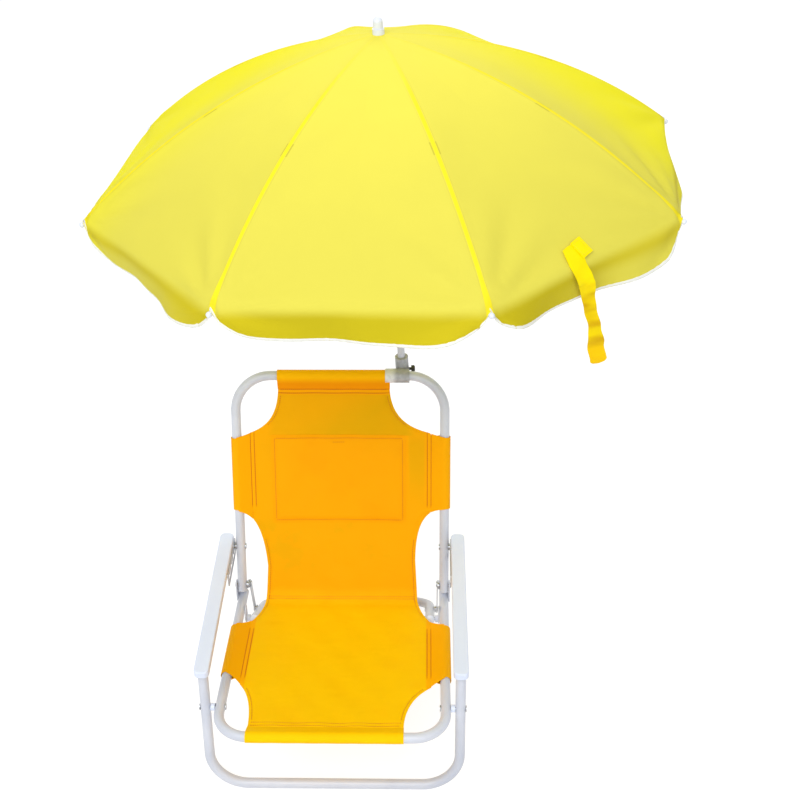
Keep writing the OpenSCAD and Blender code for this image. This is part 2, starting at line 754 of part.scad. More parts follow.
// The canopy is a thin closed shell: rings of points from the crown to the
// rib tips, then down the valance. Between ribs it lies near the straight line.
gore_steps = 7;
rim_ring = 8;
valance_rings = 2;
canopy_hole = pole_r + 1;
gore_half = 180 / RIBS;

// How far the valance hangs at a place between two ribs, 0 to 1
function hang(t) = valance_drop * pow(max(0, 1 - pow(abs(2 * t - 1), 4)), 0.6);
// A point of the cloth on a rib line, as [out, up]
function on_rib(ring, off) =
    ring == 0 ? [canopy_hole, crown_top + 0.3 + off]
    : ring == 1 ? [(crown_r + 0.6) / cos(gore_half), crown_top + 0.3 + off]
    : rib_at(rib_slope(rib_len * (ring - 1) / (rim_ring - 1)), cloth_over_rib + off);
// A point of one gore, as [across, out, up] with out along the gore's middle
function gore_point(t, ring, off) =
    let (p = on_rib(min(ring, rim_ring), off),
         draw = canopy_draw * 4 * t * (1 - t) * sin(180 * min(1, max(0, ring - 1) / (rim_ring - 1))),
         down = max(0, ring - rim_ring) / valance_rings)
    [(p[0] - draw) * (2 * t - 1) * sin(gore_half), (p[0] - draw) * cos(gore_half),
     p[1] - draw / 2 - hang(t) * down];
function turned(p, a) = [p[1] * cos(a) - p[0] * sin(a), p[1] * sin(a) + p[0] * cos(a), p[2]];
canopy_around = RIBS * gore_steps;
canopy_rings = rim_ring + valance_rings + 1;
function canopy_layer(off) = [
    for (ring = [0:canopy_rings - 1], gore = [0:RIBS - 1], step = [0:gore_steps - 1])
        turned(gore_point(step / gore_steps, ring, off), rib_az(gore + 1.5))];

module canopy() color(lemon) on_pole() {
    n = canopy_around;
    under = canopy_rings * n;
    last = (canopy_rings - 1) * n;
    faces = concat(
        [for (r = [0:canopy_rings - 2], k = [0:n - 1])
            [r * n + k, (r + 1) * n + k, (r + 1) * n + (k + 1) % n]],
        [for (r = [0:canopy_rings - 2], k = [0:n - 1])
            [r * n + k, (r + 1) * n + (k + 1) % n, r * n + (k + 1) % n]],
        [for (r = [0:canopy_rings - 2], k = [0:n - 1])
            [under + r * n + k, under + (r + 1) * n + (k + 1) % n, under + (r + 1) * n + k]],
        [for (r = [0:canopy_rings - 2], k = [0:n - 1])
            [under + r * n + k, under + r * n + (k + 1) % n, under + (r + 1) * n + (k + 1) % n]],
        [for (k = [0:n - 1]) [k, (k + 1) % n, under + (k + 1) % n]],
        [for (k = [0:n - 1]) [k, under + (k + 1) % n, under + k]],
        [for (k = [0:n - 1]) [last + (k + 1) % n, last + k, under + last + k]],
        [for (k = [0:n - 1]) [last + (k + 1) % n, under + last + k, under + last + (k + 1) % n]]);
    polyhedron(points = concat(canopy_layer(canopy_t), canopy_layer(0)), faces = faces, convexity = 6);
}

// The tie strap: sewn to the front right gore, laid over its edge and hanging
strap_gore = 1;
strap_t = 0.9;
strap_over = canopy_t + 0.15;
strap_rim = gore_point(0.41, rim_ring, strap_over) + [0, 0.9, 0.3];
strap_path = concat(
    [gore_point(0.48, rim_ring - 0.5, strap_over), gore_point(0.45, rim_ring - 0.25, strap_over), strap_rim],
    [for (k = [1:5]) strap_rim + [9 * k - 4, 2 * sin(50 * k), -26 * k]]);

module tie_strap() color([1.0, 0.93, 0.16]) on_pole() rotate([0, 0, rib_az(strap_gore + 0.5)]) {
    n = len(strap_path);
    corners = [for (s = strap_path, side = [-1, 1], face = [0, 1])
        [s[1] + face * strap_t, s[0] + side * strap_w / 2, s[2] + face * strap_t / 2]];
    faces = concat(
        [[0, 1, 3, 2]],
        [for (k = [0:n - 2]) [4 * k + 1, 4 * k + 5, 4 * k + 7, 4 * k + 3]],
        [for (k = [0:n - 2]) [4 * k, 4 * k + 2, 4 * k + 6, 4 * k + 4]],
        [for (k = [0:n - 2]) [4 * k, 4 * k + 4, 4 * k + 5, 4 * k + 1]],
        [for (k = [0:n - 2]) [4 * k + 2, 4 * k + 3, 4 * k + 7, 4 * k + 6]],
        [[4 * n - 4, 4 * n - 2, 4 * n - 1, 4 * n - 3]]);
    polyhedron(points = corners, faces = faces, convexity = 4);
}

// The plastic clamp: a sleeve round the top bar joined to the pole's socket.
// It is slit below where it reaches over the sling's own sleeve.
module clamp_body() color(clear_plastic) difference() {
    union() {
        cross_pin(top_bar, clamp_x + clamp_right - clamp_len, clamp_x + clamp_right, clamp_r);
        on_pole() translate([0, 0, -socket_down]) cylinder(r = socket_r, h = socket_down + socket_up);
    }
    cross_pin(top_bar, clamp_x - clamp_len, clamp_x + clamp_len, tube_r + play / 2);
    cross_pin(top_bar, clamp_x - clamp_len, neck_right + 2, sleeve_out + 0.3);
    place(top_bar, back_ang) translate([clamp_x - clamp_len, -clamp_r - 2, -cloth_t / 2 - 0.3])
        cube([neck_right + 1.4 - clamp_x + clamp_len, clamp_r + 2, cloth_t + 0.6]);
    on_pole() translate([0, 0, 1 - socket_down]) cylinder(r = pole_r + play, h = socket_up + socket_down);
    on_pole() screw_axis() cylinder(r = screw_r + play, h = clamp_len);
}
clamp_right = 12;
screw_reach = 14;
screw_r = 2.5;
screw_up = 2;

// Children along +X from the pole's axis, at the screw's height
module screw_axis() translate([0, 0, screw_up]) rotate([0, 90, 0]) children();

// The screw that grips the pole, with a ribbed head to turn it by
module clamp_screw() color(dark) on_pole() screw_axis() {
    translate([0, 0, pole_r + 0.3]) cylinder(r = screw_r, h = screw_reach + 2 - pole_r);
    translate([0, 0, screw_reach + 1.2]) cylinder(r = 5.8, h = 5, $fn = 12);
    translate([0, 0, screw_reach + 6.2]) cylinder(r = 4.4, h = 1);
}

seat_frame();
seat_sling();
seat_plugs();
leg_rivets();
leg_spacers();
rear_rivets();
rear_spacers();
back_rivets();
front_leg();
leg_plugs();
rear_leg();
rear_plugs();
link_rivets();
back_frame();
back_plugs();
back_sling();
back_patch();
cranks();
crank_rivets();
arm_studs();
clamp_body();
clamp_screw();
arm_left();
arm_right();
adjuster_left();
adjuster_right();
link_left();
link_right();
pole();
pole_foot();
crown();
cap();
canopy();
tie_strap();
runner();
for (i = [1:RIBS]) {
    rib(i);
    tip(i);
    stretcher(i);
}
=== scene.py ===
"""Looks of a child's folding sling chair with a sun umbrella clamped to its back.

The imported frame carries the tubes, plates, ribs and fittings. This script gives them their
finishes and makes the cloth: the yellow sling with its sleeves, seams and sewn-on panel, the
lemon canopy with its scalloped valance, and the tie strap. Lengths are in metres.
"""
import math

import bmesh
import bpy
from mathutils import Matrix, Vector


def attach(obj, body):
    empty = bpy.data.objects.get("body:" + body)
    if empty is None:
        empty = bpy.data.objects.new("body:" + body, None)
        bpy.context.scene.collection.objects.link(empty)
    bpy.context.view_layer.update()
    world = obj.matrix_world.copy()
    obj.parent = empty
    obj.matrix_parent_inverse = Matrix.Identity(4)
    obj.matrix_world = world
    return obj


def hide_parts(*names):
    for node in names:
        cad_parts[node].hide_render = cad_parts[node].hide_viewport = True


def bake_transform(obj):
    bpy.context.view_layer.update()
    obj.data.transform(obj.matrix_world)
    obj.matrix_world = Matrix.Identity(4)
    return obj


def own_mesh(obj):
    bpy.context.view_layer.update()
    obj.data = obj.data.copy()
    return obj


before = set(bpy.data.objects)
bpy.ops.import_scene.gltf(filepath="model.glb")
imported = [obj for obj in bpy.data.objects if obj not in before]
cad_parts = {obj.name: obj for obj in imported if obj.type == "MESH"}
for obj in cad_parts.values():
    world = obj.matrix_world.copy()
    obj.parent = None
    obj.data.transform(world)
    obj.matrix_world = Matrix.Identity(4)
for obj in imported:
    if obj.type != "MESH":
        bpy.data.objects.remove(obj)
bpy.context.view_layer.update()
MM = 0.001

# Sizes shared with the frame's chair
SEAT_FRONT = Vector((0, -28, 161.7)) * MM
SEAT_SLOPE = math.radians(7.05)
SEAT_DEPTH = 0.3255
BACK_RAKE = math.radians(22.8)
BACK_RISE = 0.3986
TUBE_CENTRE = 0.175
SLEEVE_R = 0.0090

SEAT_DIR = Vector((0, math.cos(SEAT_SLOPE), -math.sin(SEAT_SLOPE)))
SEAT_UP = Vector((0, math.sin(SEAT_SLOPE), math.cos(SEAT_SLOPE)))
BACK_DIR = Vector((0, math.sin(BACK_RAKE), math.cos(BACK_RAKE)))
BACK_FACE = Vector((0, -math.cos(BACK_RAKE), math.sin(BACK_RAKE)))
CREASE = SEAT_FRONT + SEAT_DEPTH * SEAT_DIR
TOP_BAR = CREASE + BACK_RISE * BACK_DIR

# Sizes shared with the frame's umbrella
RIBS = 8
RIB_TURN = -5
POLE_TURN = Matrix.Rotation(math.radians(-2.8), 3, "Y") @ Matrix.Rotation(math.radians(-2), 3, "X")
POLE_FOOT = TOP_BAR + Vector((0.104, 0.0165, 0))
POLE_UP = POLE_TURN @ Vector((0, 0, 1))
CANOPY_R = 0.450
CANOPY_RISE = 0.203
APEX_UP = 0.565
HINGE_R = 0.012
HINGE_UP = APEX_UP - 0.004
HINGE_DROP = CANOPY_RISE - 0.004
RIB_START = math.radians(8.5)
RIB_MEAN = math.atan2(HINGE_DROP, CANOPY_R - HINGE_R)
RIB_END = 2 * RIB_MEAN - RIB_START
RIB_BEND = math.hypot(HINGE_DROP, CANOPY_R - HINGE_R) / (2 * math.sin(RIB_MEAN - RIB_START))
RIB_LEN = RIB_BEND * (RIB_END - RIB_START)
GORE_HALF = math.pi / RIBS
CLOTH_UP = 0.0027


# Shader sheets
def srgb(red, green, blue):
    """A screen colour, 0 to 255, as the linear colour that shaders take."""
    def line(c):
        c /= 255
        return c / 12.92 if c <= 0.04045 else ((c + 0.055) / 1.055) ** 2.4
    return (line(red), line(green), line(blue), 1.0)


class Wire:
    """A number on its way through a shader's nodes, so that shader maths reads as maths."""

    def __init__(self, tree, socket):
        self.tree, self.socket = tree, socket

    def maths(self, operation, first, second):
        node = self.tree.node("ShaderNodeMath", {"operation": operation}, {0: first, 1: second})
        return Wire(self.tree, node.outputs[0])

    def __add__(self, other):
        return self.maths("ADD", self, other)

    def __sub__(self, other):
        return self.maths("SUBTRACT", self, other)

    def __rsub__(self, other):
        return self.maths("SUBTRACT", other, self)

    def __mul__(self, other):
        return self.maths("MULTIPLY", self, other)

    __radd__ = __add__
    __rmul__ = __mul__

    def of(self, operation, other=0.0):
        return self.maths(operation, self, other)

    def near(self, middle, reach):
        """1 within reach of a middle value, 0 elsewhere."""
        return (self - middle).of("ABSOLUTE").of("LESS_THAN", reach)


class Tree:
    """The nodes of one shader, made and joined in short calls."""

    def __init__(self, nodes):
        self.nodes = nodes

    def node(self, kind, settings=None, inputs=None):
        made = self.nodes.nodes.new(kind)
        for key, value in (settings or {}).items():
            setattr(made, key, value)
        for key, value in (inputs or {}).items():
            self.feed(made.inputs[key], value)
        return made

    def feed(self, socket, value):
        if isinstance(value, Wire):
            value = value.socket
        if isinstance(value, bpy.types.NodeSocket):
            self.nodes.links.new(value, socket)
        else:
            socket.default_value = value

    def place(self, kind="Object"):
        return self.node("ShaderNodeTexCoord").outputs[kind]

    def axes(self, vector):
        split = self.node("ShaderNodeSeparateXYZ", {}, {0: vector})
        return [Wire(self, out) for out in split.outputs]

    def noise(self, vector, scale, detail=2.0, roughness=0.5, stretch=None):
        if stretch:
            mapped = self.node("ShaderNodeMapping", {}, {"Vector": vector, "Scale": stretch})
            vector = mapped.outputs[0]
        made = self.node("ShaderNodeTexNoise", {}, {"Vector": vector, "Scale": scale, "Detail": detail,
                                                    "Roughness": roughness})
        return Wire(self, made.outputs[0])

    def step(self, value, low, high):
        """0 below low, 1 above high, smooth between."""
        made = self.node("ShaderNodeMapRange", {"interpolation_type": "SMOOTHSTEP"},
                         {"Value": value, "From Min": low, "From Max": high})
        return Wire(self, made.outputs[0])

    def blend(self, share, first, second):
        made = self.node("ShaderNodeMix", {"data_type": "RGBA"}, {0: share, 6: first, 7: second})
        return made.outputs[2]

    def bump(self, height, depth, strength=1.0, under=None):
        inputs = {"Height": height, "Distance": depth, "Strength": strength}
        if under is not None:
            inputs["Normal"] = under
        return self.node("ShaderNodeBump", {}, inputs).outputs[0]


class Finish(Tree):
    """One material, built round a Principled shader."""

    def __init__(self, name, colour, roughness, **fixed):
        self.material = bpy.data.materials.new(name)
        self.material.use_nodes = True
        super().__init__(self.material.node_tree)
        self.nodes.nodes.clear()
        self.shader = self.node("ShaderNodeBsdfPrincipled", {},
                                {"Base Color": colour, "Roughness": roughness, **fixed})
        self.end = self.node("ShaderNodeOutputMaterial", {}, {"Surface": self.shader.outputs[0]})

    def set(self, key, value):
        self.feed(self.shader.inputs[key], value)


def painted_tube(name, colour, shade):
    """White powder coat: a faint orange peel and a slightly greyer cast in places."""
    f = Finish(name, colour, 0.38, **{"Coat Weight": 0.25, "Coat Roughness": 0.25})
    at = f.place()
    f.set("Base Color", f.blend(f.step(f.noise(at, 9, 3), 0.35, 0.75), colour, shade))
    f.set("Roughness", f.noise(at, 60, 2) * 0.16 + 0.3)
    f.set("Normal", f.bump(f.noise(at, 900, 2), 0.00008, 0.5))
    return f.material


def moulded(name, colour, shade, roughness=0.42):
    """Moulded plastic with a fine spark-eroded grain."""
    f = Finish(name, colour, roughness)
    at = f.place()
    f.set("Base Color", f.blend(f.noise(at, 14, 3), colour, shade))
    f.set("Roughness", f.noise(at, 35, 2) * 0.2 + (roughness - 0.1))
    f.set("Normal", f.bump(f.noise(at, 1500, 1), 0.00006, 0.5))
    return f.material


def clamp_plastic(name):
    """Cloudy plastic, nearly white on the bar's sleeve and grey round the socket."""
    pale, grey, cloudy = srgb(220, 222, 224), srgb(160, 162, 166), srgb(190, 192, 196)
    socket_from, socket_to = 0.088, 0.096
    f = Finish(name, pale, 0.35)
    at = f.place()
    x, _, _ = f.axes(at)
    colour = f.blend(f.step(x, socket_from, socket_to), pale, grey)
    f.set("Base Color", f.blend(f.step(f.noise(at, 160, 3), 0.4, 0.7) * 0.5, colour, cloudy))
    f.set("Roughness", f.noise(at, 60, 2) * 0.2 + 0.25)
    f.set("Normal", f.bump(f.noise(at, 900, 1), 0.00006, 0.5))
    return f.material


def plated(name, colour, roughness):
    """Zinc-plated steel with fine rolling lines."""
    f = Finish(name, colour, roughness, **{"Metallic": 1.0})
    at = f.place()
    dull = tuple(c * 0.8 for c in colour[:3]) + (1,)
    f.set("Roughness", f.noise(at, 300, 3, stretch=(1, 1, 0.15)) * 0.25 + (roughness - 0.1))
    f.set("Base Color", f.blend(f.noise(at, 40, 3), colour, dull))
    return f.material


def weave(f, pattern, pitch, depth, under=None):
    """A plain weave's bump from the cloth's flat pattern, in metres."""
    across, along, _ = f.axes(pattern)
    turn = 2 * math.pi / pitch
    threads = (across * turn).of("SINE") * (along * turn).of("SINE")
    return f.bump(threads, depth, 0.5, under)


def mustard_and_sheen(f, across, along, cloud):
    """Where the back is mustard: 1 behind the head, with a painted diagonal sheen across it, and fainter
    beside the panel, where an olive sheen is painted.
    """
    aside = across.of("ABSOLUTE")
    head = f.step(along, PATCH_TOP - 0.001, PATCH_TOP + 0.001)
    head = head * (1 - f.step(along, FLAT_LEN - 0.034, FLAT_LEN - 0.031))
    head = head * (1 - f.step(aside, 0.108, 0.130))
    # painted sheen: a diagonal sheen across the mustard behind the head
    diagonal_sheen = f.step(across * 0.6 - along + cloud * 0.04, -0.66, -0.60)
    head = head * (diagonal_sheen * 0.45 + 0.55)
    # painted sheen: olive strips beside the panel
    beside = f.step(aside, 0.112, 0.118) * (1 - f.step(aside, 0.138, 0.146))
    beside = beside * f.step(along + cloud * 0.06, PATCH_TOP - 0.13, PATCH_TOP - 0.02)
    beside = beside * (1 - f.step(along, PATCH_TOP - 0.02, PATCH_TOP + 0.02))
    beside = beside * (f.step(across, -0.1, 0.1) * 0.35 + 0.3)
    return head + beside * (1 - head)


def seam_groove_shade(f, aside, along):
    """1 along the seams beside the side sleeves and below the top sleeve, where shade is painted into
    their grooves.
    """
    def seam_groove(distance):
        return 1 - f.step(distance.of("ABSOLUTE"), 0.0006, 0.0015)

    seat_sleeves = f.step(along, 0.124, 0.132) * (1 - f.step(along, 0.244, 0.250))
    back_sleeves = f.step(along, BACK_ZERO + 0.165, BACK_ZERO + 0.172)
    marked = 0
    for row in SIDE_ROWS:
        marked = marked + seam_groove(aside - row) * (seat_sleeves + back_sleeves)
    for row in TOP_ROWS:
        marked = marked + seam_groove(along - row) * f.step(along, 0.5, 0.51)
    return marked.of("MINIMUM", 1.0)


def sling_cloth(name):
    """Golden coated weave. The seat is painted lighter than the back, as painted light; behind the head
    the back is darker mustard with a painted diagonal sheen, with painted olive sheen beside the panel;
    hems and sleeves, where cloth is doubled, are deeper; painted shade lies in the seam grooves and on the
    top sleeve's lower face, with painted light on its upper part."""
    gold, amber = srgb(255, 201, 0), srgb(255, 174, 0)
    mustard, deep = srgb(232, 172, 0), srgb(255, 176, 0)
    front_edge, top_sleeve_shade, top_sleeve_light = srgb(255, 203, 0), srgb(244, 150, 0), srgb(255, 188, 0)
    # painted shade in the seam grooves
    seam_groove = srgb(206, 104, 0)
    f = Finish(name, gold, 0.6, **{"Specular IOR Level": 0.06})
    flat = f.place("UV")
    across, along, _ = f.axes(flat)
    aside = across.of("ABSOLUTE")
    cloud = f.noise(flat, 14, 4, 0.6)
    # painted light: the seat is painted a lighter gold than the amber back
    colour = f.blend(f.step(along + cloud * 0.03, 0.30, 0.36), gold, amber)
    colour = f.blend(mustard_and_sheen(f, across, along, cloud), colour, mustard)
    colour = f.blend(1 - f.step(along, -0.001, 0.001), colour, front_edge)
    # painted shade on the top sleeve's lower front face, painted light on its upper part
    colour = f.blend(f.step(along, FLAT_LEN - 0.024, FLAT_LEN - 0.021), colour, top_sleeve_shade)
    colour = f.blend(f.step(along, FLAT_LEN - 0.013, FLAT_LEN - 0.001), colour, top_sleeve_light)
    doubled = f.step(aside, 0.143, 0.146) * f.step(along, -0.001, 0.001)
    colour = f.blend(doubled * 0.8, colour, deep)
    waist = f.step(along, 0.33, 0.38) * (1 - f.step(along, 0.44, 0.50))
    colour = f.blend(waist * f.step(cloud - across, 0.45, 0.68) * 0.7, colour, mustard)
    colour = f.blend(f.step(cloud, 0.45, 0.75) * 0.2, colour, deep)
    # painted shade along the seam grooves
    colour = f.blend(seam_groove_shade(f, aside, along) * 0.55, colour, seam_groove)
    f.set("Base Color", colour)
    f.set("Roughness", f.noise(flat, 40, 2) * 0.15 + 0.48)
    folds = f.bump(f.noise(flat, 10, 3, 0.55, stretch=(1.0, 2.2, 1.0)), 0.010, 0.22)
    f.set("Normal", weave(f, flat, SLING_WEAVE, 0.00022, folds))
    return f.material


def patch_cloth(name):
    """The same weave as the sling's, a little deeper."""
    amber, deep = srgb(255, 172, 0), srgb(252, 163, 0)
    f = Finish(name, amber, 0.6, **{"Specular IOR Level": 0.06})
    flat = f.place("UV")
    cloud = f.noise(flat, 12, 4, 0.6)
    f.set("Base Color", f.blend(f.step(cloud, 0.4, 0.8) * 0.5, amber, deep))
    f.set("Roughness", f.noise(flat, 40, 2) * 0.15 + 0.48)
    folds = f.bump(f.noise(flat, 12, 2, 0.5), 0.006, 0.2)
    f.set("Normal", weave(f, flat, SLING_WEAVE, 0.00022, folds))
    return f.material


def canopy_cloth(name):
    """Thin lemon nylon: painted darker and warmer low down as painted shade, a deeper yellow on the far
    side as painted light, painted shade on the hanging hem that is lifted by painted light where it flares
    at the sides, brighter where it lies double over a rib, with painted shade in the crease beside each
    rib seam and in a small tie beside each rib that dimples the cloth."""
    lemon, painted_low_shade, deep, hem = srgb(238, 227, 84), srgb(216, 206, 82), srgb(244, 234, 24), srgb(200, 183, 30)
    seam, crease, tie_shade = srgb(246, 228, 40), srgb(205, 190, 50), srgb(176, 160, 34)
    f = Finish(name, lemon, 0.55, **{"Specular IOR Level": 0.02})
    flat = f.place("UV")
    across, along, _ = f.axes(flat)
    aside = across.of("ABSOLUTE")
    x, y, _ = f.axes(f.place())
    cloud = f.noise(flat, 6, 3, 0.5)
    # painted shade: darker and warmer low down on the canopy
    colour = f.blend(f.step(along + cloud * 0.2, 0.15, 0.55) * 0.8, lemon, painted_low_shade)
    # painted light: the far side of the canopy is painted a deeper yellow
    far = f.step(y + (x - 0.1).of("ABSOLUTE") * 0.6, 0.48, 0.72)
    colour = f.blend(far * 0.9, colour, deep)
    # painted shade on the hanging hem, lifted by painted light where the hem flares at the sides
    sides = f.step((x - 0.08).of("ABSOLUTE"), 0.20, 0.34)
    flare_light = sides * f.step(along, RIB_LEN + 0.004, RIB_LEN + 0.032)
    hanging = f.step(along, RIB_LEN - 0.004, RIB_LEN + 0.016)
    colour = f.blend(hanging * (1 - flare_light * 0.85), colour, hem)
    from_crown = f.step(along, 0.03, 0.19)
    spread = f.step(along, RIB_LEN - 0.05, RIB_LEN) * 0.002
    over_rib = 1 - f.step(aside - spread, 0.0021, 0.0036)
    colour = f.blend(over_rib * (from_crown * 0.8 + 0.15), colour, seam)
    # painted shade in the crease beside each rib seam
    colour = f.blend(aside.near(0.0043, 0.0005) * from_crown * 0.22, colour, crease)
    # painted shade in the dimple where each tie pinches the cloth
    tie = along.near(TIE_AT, 0.011) * aside.near(0.0042, 0.0010)
    colour = f.blend(tie * 0.4, colour, tie_shade)
    f.set("Base Color", colour)
    f.set("Roughness", f.noise(flat, 25, 2) * 0.18 + 0.42)
    soft = f.bump(f.noise(flat, 7, 3, 0.5, stretch=(1.6, 1.0, 1.0)), 0.012, 0.12)
    edge = f.bump(aside.near(0.0040, 0.0006) + tie, 0.0004, 0.6, soft)
    f.set("Normal", weave(f, flat, 0.0008, 0.0001, edge))
    return f.material


def ribbing(f, along):
    """The bump of a narrow tape's cross ribs."""
    return f.bump((along * (2 * math.pi / TAPE_PITCH)).of("SINE"), 0.00015, 0.5)


def tape(name, colour, shade):
    """Ribbed narrow tape."""
    f = Finish(name, colour, 0.5, **{"Sheen Weight": 0.2})
    flat = f.place("UV")
    _, along, _ = f.axes(flat)
    f.set("Base Color", f.blend(f.noise(flat, 60, 3), colour, shade))
    f.set("Normal", ribbing(f, along))
    return f.material


def strap_web(name):
    """Saturated yellow webbing, painted darker where it twists and folds as painted shade, and amber
    towards its tip.
    """
    yellow, fold_shade, amber = srgb(252, 228, 0), srgb(206, 160, 0), srgb(246, 186, 0)
    f = Finish(name, yellow, 0.6, **{"Specular IOR Level": 0.1})
    flat = f.place("UV")
    _, along, _ = f.axes(flat)
    # painted shade on the strap's twisted folds
    twist = f.step(f.noise(flat, 30, 2, 0.5, stretch=(0.35, 1.0, 1.0)), 0.42, 0.62)
    colour = f.blend((twist * 0.6 + 0.3) * f.step(along, 0.05, 0.08), yellow, fold_shade)
    colour = f.blend(f.step(along, 0.15, 0.18) * 0.6, colour, amber)
    f.set("Base Color", colour)
    f.set("Normal", ribbing(f, along))
    return f.material


# Mesh helpers
def cloth_piece(name, columns, rows, place, flat, thickness, material, closed=False, side=0):
    """A sheet made from a grid: place(u, v) puts a point in space and flat(u, v) gives its
    place in the cut cloth, in metres, which becomes the UV map."""
    mesh = bmesh.new()
    bmesh.ops.create_grid(mesh, x_segments=columns, y_segments=rows, size=0.5)
    layer = mesh.loops.layers.uv.new("flat")
    for face in mesh.faces:
        face.smooth = True
        for loop in face.loops:
            loop[layer].uv = flat(loop.vert.co.x + 0.5, loop.vert.co.y + 0.5)
    for vert in mesh.verts:
        vert.co = place(vert.co.x + 0.5, vert.co.y + 0.5)
    if closed:
        bmesh.ops.remove_doubles(mesh, verts=mesh.verts, dist=1e-6)
    return shown(name, mesh, material, thickness, side)


def shown(name, mesh, material, thickness=0.0, side=0):
    """A mesh as an object in the scene, thickened where it is a sheet."""
    data = bpy.data.meshes.new(name)
    mesh.to_mesh(data)
    mesh.free()
    data.materials.append(material)
    piece = bpy.data.objects.new(name, data)
    bpy.context.scene.collection.objects.link(piece)
    if thickness:
        wall = piece.modifiers.new("cloth", "SOLIDIFY")
        wall.thickness = thickness
        wall.offset = side
        wall.use_even_offset = False
        with bpy.context.temp_override(object=piece, active_object=piece):
            bpy.ops.object.modifier_apply(modifier=wall.name)
        data.set_sharp_from_angle(angle=1.0)
    return piece


def joined(name, pieces):
    """Several pieces made one, materials kept."""
    bpy.ops.object.select_all(action="DESELECT")
    for piece in pieces:
        piece.select_set(True)
    bpy.context.view_layer.objects.active = pieces[0]
    bpy.ops.object.join()
    pieces[0].name = name
    return pieces[0]


def bezier(a, b, c, d, steps=28):
    """Points of a curve that leaves a towards b and reaches d from c, as (x, y) pairs."""
    curve = []
    for k in range(steps + 1):
        t = k / steps
        weights = ((1 - t) ** 3, 3 * t * (1 - t) ** 2, 3 * t * t * (1 - t), t ** 3)
        curve.append(tuple(sum(w * p[axis] for w, p in zip(weights, (a, b, c, d))) for axis in (0, 1)))
    return curve


def between(table, at):
    """The second value of a rising table of pairs, at a first value."""
    if at <= table[0][0]:
        return table[0][1]
    for (x0, y0), (x1, y1) in zip(table, table[1:]):
        if at <= x1:
            return y0 + (y1 - y0) * (at - x0) / max(x1 - x0, 1e-9)
    return table[-1][1]


def ease(low, high, at):
    """0 below low, 1 above high, smooth between."""
    t = min(1.0, max(0.0, (at - low) / (high - low)))
    return t * t * (3 - 2 * t)


class Line:
    """A row of points that can be asked for the place at a distance along it."""

    def __init__(self, points):
        lengths = [0.0]
        for p, q in zip(points, points[1:]):
            lengths.append(lengths[-1] + (q - p).length)
        self.length = lengths[-1]
        self.tables = [list(zip(lengths, [p[axis] for p in points])) for axis in range(3)]

    def at(self, run):
        return Vector(tuple(between(table, run) for table in self.tables))


def stitch_row(mesh, path, normal, pitch=0.0034, length=0.0026, width=0.0010):
    """Thread stitches let into the cloth along a row of points."""
    line = Line(path)
    for k in range(int(line.length / pitch)):
        run = (k + 0.5) * pitch
        here = line.at(run)
        along = (line.at(run + 0.001) - here).normalized()
        across = normal.cross(along).normalized()
        turn = Matrix((along, across, normal)).transposed().to_4x4()
        turn.translation = here
        made = bmesh.ops.create_icosphere(mesh, subdivisions=1, radius=0.5)
        size = Matrix.Diagonal((length, width, width, 1))
        bmesh.ops.transform(mesh, verts=made["verts"], matrix=turn @ size)


# The sling's lengths along the cloth, from the front bar
CREASE_R = 0.030
CORNER = math.pi / 2 - BACK_RAKE + SEAT_SLOPE
CUT_BACK = CREASE_R * math.tan(CORNER / 2)
ARC_LEN = CREASE_R * CORNER
BEND_FROM = SEAT_DEPTH - CUT_BACK
BEND_TO = BEND_FROM + ARC_LEN
FLAT_LEN = BEND_TO + BACK_RISE - CUT_BACK
BACK_ZERO = FLAT_LEN - BACK_RISE

SEAM = 0.022
SIDE_ROWS = (0.1525, 0.1460)
FRONT_ROWS = (0.0240, 0.0305)
TOP_ROWS = (FLAT_LEN - 0.0235, FLAT_LEN - 0.0300)
PATCH_TOP = BACK_ZERO + 0.295
PATCH_LOW = BACK_ZERO + 0.140
PATCH_LEFT = -0.117
PATCH_RIGHT = 0.109
SLING_WEAVE = 0.0011
SLEEVE_CLOTH = 0.0009
THREAD_PROUD = 0.0006

# The sling's edges, left and right, in mm: (distance from the mid-plane, distance along the sling)
WAIST = BACK_ZERO / MM
KNEE_LEFT = bezier((128, 10), (126, 70), (140, 126), (184, 131))
KNEE_RIGHT = bezier((111, 10), (108, 60), (126, 108), (184, 123))
HIP_LOW_LEFT = bezier((184, 246), (158, 250), (140, 275), (133, WAIST))
HIP_LOW_RIGHT = bezier((184, 246), (158, 250), (138, 275), (129, WAIST))
HIP_HIGH_LEFT = bezier((129.5, WAIST + 60), (134, WAIST + 120), (148, WAIST + 160), (184, WAIST + 165))
HIP_HIGH_RIGHT = bezier((125.5, WAIST + 70), (126, WAIST + 126), (136, WAIST + 168), (184, WAIST + 168))
NECK_LEFT = bezier((184, WAIST + 292), (132, WAIST + 300), (104, WAIST + 318), (103, WAIST + 384))
NECK_RIGHT = bezier((184, WAIST + 294), (118, WAIST + 300), (80, WAIST + 322), (83, WAIST + 390))


def edge_table(*curves):
    """One side's edge from front to top: (distance along, distance from the mid-plane)."""
    return [(along * MM, across * MM) for curve in curves for across, along in curve]


LEFT_EDGE = edge_table(KNEE_LEFT, HIP_LOW_LEFT, HIP_HIGH_LEFT, NECK_LEFT)
RIGHT_EDGE = edge_table(KNEE_RIGHT, HIP_LOW_RIGHT, HIP_HIGH_RIGHT, NECK_RIGHT)


